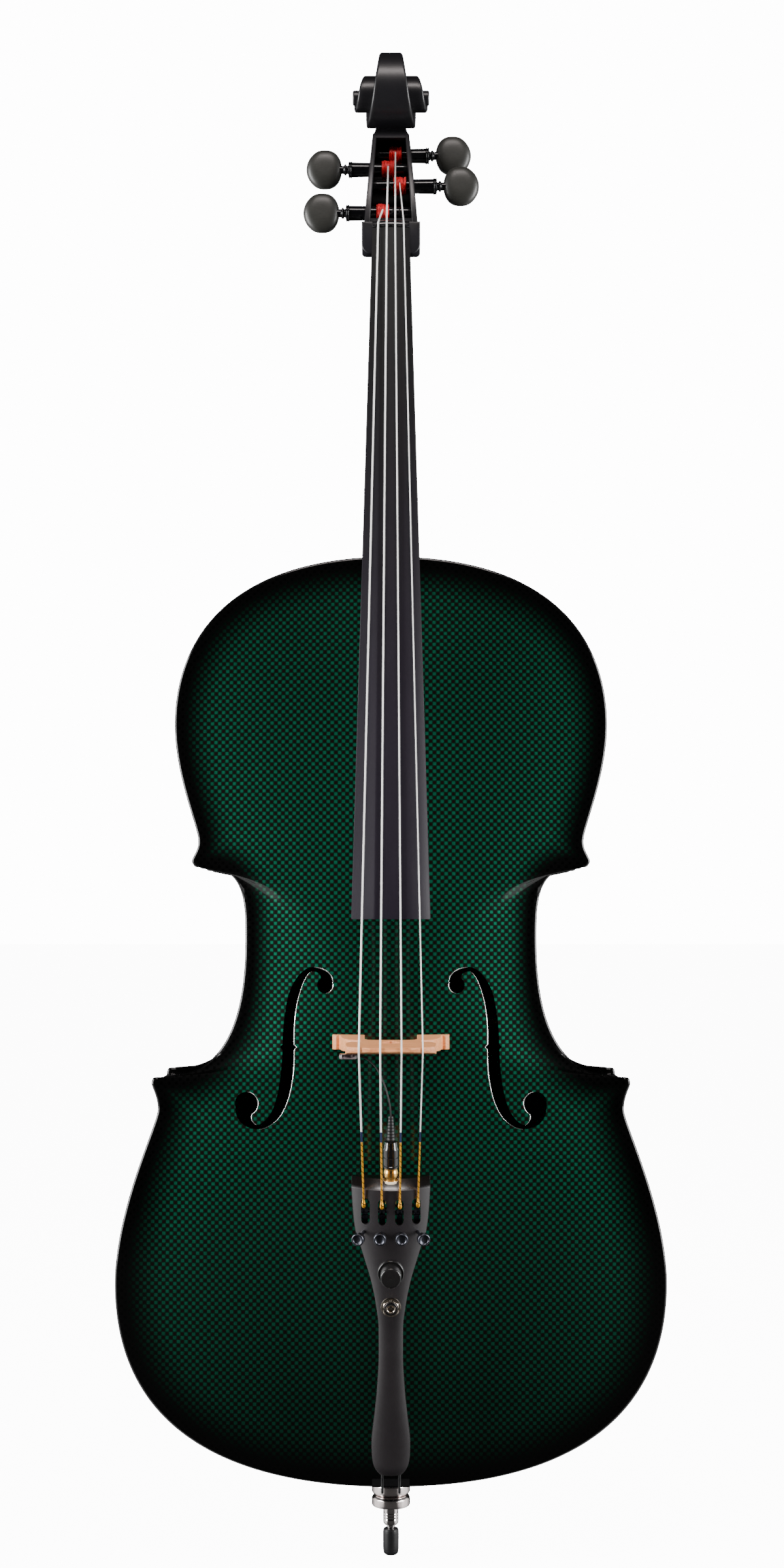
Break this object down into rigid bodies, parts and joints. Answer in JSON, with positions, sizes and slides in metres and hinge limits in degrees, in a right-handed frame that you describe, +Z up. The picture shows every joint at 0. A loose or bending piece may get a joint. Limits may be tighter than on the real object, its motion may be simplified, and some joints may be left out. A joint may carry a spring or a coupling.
{
  "type": "electric cello",
  "caption": "Full-size cello with a glossy woven-look green and black body, bridge pickup, tailpiece with fine tuners, volume knob and output jack, and a sliding endpin.",
  "frame": {"origin": "middle of the rubber tip's sole, on the endpin's axis, with the endpin pushed in", "axes": "+Z up the body along the endpin, +X to the right of someone facing the strings, -Y out of the top plate towards that person"},
  "size_m": [0.445, 0.2566, 1.2694],
  "materials": {
    "lacquer": "high gloss, woven-look green and black",
    "edge_lacquer": "high gloss black",
    "black_wood": "satin black",
    "spruce": "bare wood",
    "maple": "pale, lightly oiled",
    "moulded": "satin moulding",
    "chrome": "polished",
    "brass": "polished",
    "rubber": "matt",
    "silk": "wound silk thread",
    "string_metal": "flat-wound metal",
    "clear_plastic": "cast resin",
    "cable": "thin black jacket"
  },
  "bodies": {
    "cello": {"top_plate": "lacquer", "back_plate": "lacquer", "upper_rib_left": "edge_lacquer", "upper_rib_right": "edge_lacquer", "waist_rib_left": "edge_lacquer", "waist_rib_right": "edge_lacquer", "lower_rib_left": "edge_lacquer", "lower_rib_right": "edge_lacquer", "neck_block": "spruce", "end_block": "spruce", "bass_bar": "spruce", "sound_post": "spruce", "upper_corner_block_left": "spruce", "upper_corner_block_right": "spruce", "lower_corner_block_left": "spruce", "lower_corner_block_right": "spruce", "neck": "black_wood", "fingerboard": "black_wood", "nut": "black_wood", "saddle": "black_wood", "bridge": "maple", "tailpiece": "moulded", "tuner_axle": "chrome", "volume_pot": "chrome", "output_jack": "chrome", "jack_washer": "chrome", "jack_nut": "chrome", "endpin_plug": "chrome", "input_socket": "brass", "plug_barrel": "brass", "plug_boot": "cable", "pickup_lead": "cable", "tailgut": "cable", "bridge_pickup": "clear_plastic", "string_c": "string_metal", "string_g": "string_metal", "string_d": "string_metal", "string_a": "string_metal"},
    "c_peg": {"peg_c": "black_wood", "winding_c": "silk"},
    "g_peg": {"peg_g": "black_wood", "winding_g": "silk"},
    "d_peg": {"peg_d": "black_wood", "winding_d": "silk"},
    "a_peg": {"peg_a": "black_wood", "winding_a": "silk"},
    "c_tuner_screw": {"tuner_screw_c": "chrome"},
    "g_tuner_screw": {"tuner_screw_g": "chrome"},
    "d_tuner_screw": {"tuner_screw_d": "chrome"},
    "a_tuner_screw": {"tuner_screw_a": "chrome"},
    "c_tuner_lever": {"tuner_lever_c": "chrome"},
    "g_tuner_lever": {"tuner_lever_g": "chrome"},
    "d_tuner_lever": {"tuner_lever_d": "chrome"},
    "a_tuner_lever": {"tuner_lever_a": "chrome"},
    "volume_control": {"volume_knob": "moulded", "volume_shaft": "chrome"},
    "lock_nut": {"endpin_lock_nut": "chrome"},
    "endpin": {"endpin_rod": "chrome", "endpin_tip": "rubber"}
  },
  "joints": [
    {"name": "c_peg_turn", "type": "hinge", "parent": "cello", "child": "c_peg", "pos_m": [0, -0.03401, 1.1192], "axis": [1, 0, 0], "continuous": true},
    {"name": "g_peg_turn", "type": "hinge", "parent": "cello", "child": "g_peg", "pos_m": [0, -0.017, 1.1627], "axis": [1, 0, 0], "continuous": true},
    {"name": "d_peg_turn", "type": "hinge", "parent": "cello", "child": "d_peg", "pos_m": [0, -0.007, 1.1785], "axis": [1, 0, 0], "continuous": true},
    {"name": "a_peg_turn", "type": "hinge", "parent": "cello", "child": "a_peg", "pos_m": [0, -0.02498, 1.14549], "axis": [1, 0, 0], "continuous": true},
    {"name": "c_tuner_screw_turn", "type": "hinge", "parent": "cello", "child": "c_tuner_screw", "pos_m": [-0.01965, -0.12528, 0.28339], "axis": [0.2232, 0.9554, 0.1932], "range_deg": [0, 1080]},
    {"name": "g_tuner_screw_turn", "type": "hinge", "parent": "cello", "child": "g_tuner_screw", "pos_m": [-0.00655, -0.12528, 0.28339], "axis": [0.0761, 0.9773, 0.1976], "range_deg": [0, 1080]},
    {"name": "d_tuner_screw_turn", "type": "hinge", "parent": "cello", "child": "d_tuner_screw", "pos_m": [0.00655, -0.12528, 0.28339], "axis": [-0.0761, 0.9773, 0.1976], "range_deg": [0, 1080]},
    {"name": "a_tuner_screw_turn", "type": "hinge", "parent": "cello", "child": "a_tuner_screw", "pos_m": [0.01965, -0.12528, 0.28339], "axis": [-0.2232, 0.9554, 0.1932], "range_deg": [0, 1080]},
    {"name": "c_tuner_lever_tip", "type": "hinge", "parent": "cello", "child": "c_tuner_lever", "pos_m": [0, -0.12659, 0.2969], "axis": [1, 0, 0], "range_deg": [0, 6]},
    {"name": "g_tuner_lever_tip", "type": "hinge", "parent": "cello", "child": "g_tuner_lever", "pos_m": [0, -0.12659, 0.2969], "axis": [1, 0, 0], "range_deg": [0, 6]},
    {"name": "d_tuner_lever_tip", "type": "hinge", "parent": "cello", "child": "d_tuner_lever", "pos_m": [0, -0.12659, 0.2969], "axis": [1, 0, 0], "range_deg": [0, 6]},
    {"name": "a_tuner_lever_tip", "type": "hinge", "parent": "cello", "child": "a_tuner_lever", "pos_m": [0, -0.12659, 0.2969], "axis": [1, 0, 0], "range_deg": [0, 6]},
    {"name": "volume_turn", "type": "hinge", "parent": "cello", "child": "volume_control", "pos_m": [0, -0.1301, 0.25069], "axis": [0, 0.9802, 0.1982], "range_deg": [-150, 150]},
    {"name": "lock_nut_turn", "type": "hinge", "parent": "cello", "child": "lock_nut", "pos_m": [0, 0, 0.0443], "axis": [0, 0, -1], "range_deg": [0, 180]},
    {"name": "endpin_slide", "type": "slide", "parent": "cello", "child": "endpin", "axis": [0, 0, -1], "range_m": [0, 0.38]}
  ],
  "couplings": [
    {"joint": "c_tuner_lever_tip", "follows": "c_tuner_screw_turn", "ratio": 0.0055556},
    {"joint": "g_tuner_lever_tip", "follows": "g_tuner_screw_turn", "ratio": 0.0055556},
    {"joint": "d_tuner_lever_tip", "follows": "d_tuner_screw_turn", "ratio": 0.0055556},
    {"joint": "a_tuner_lever_tip", "follows": "a_tuner_screw_turn", "ratio": 0.0055556}
  ]
}
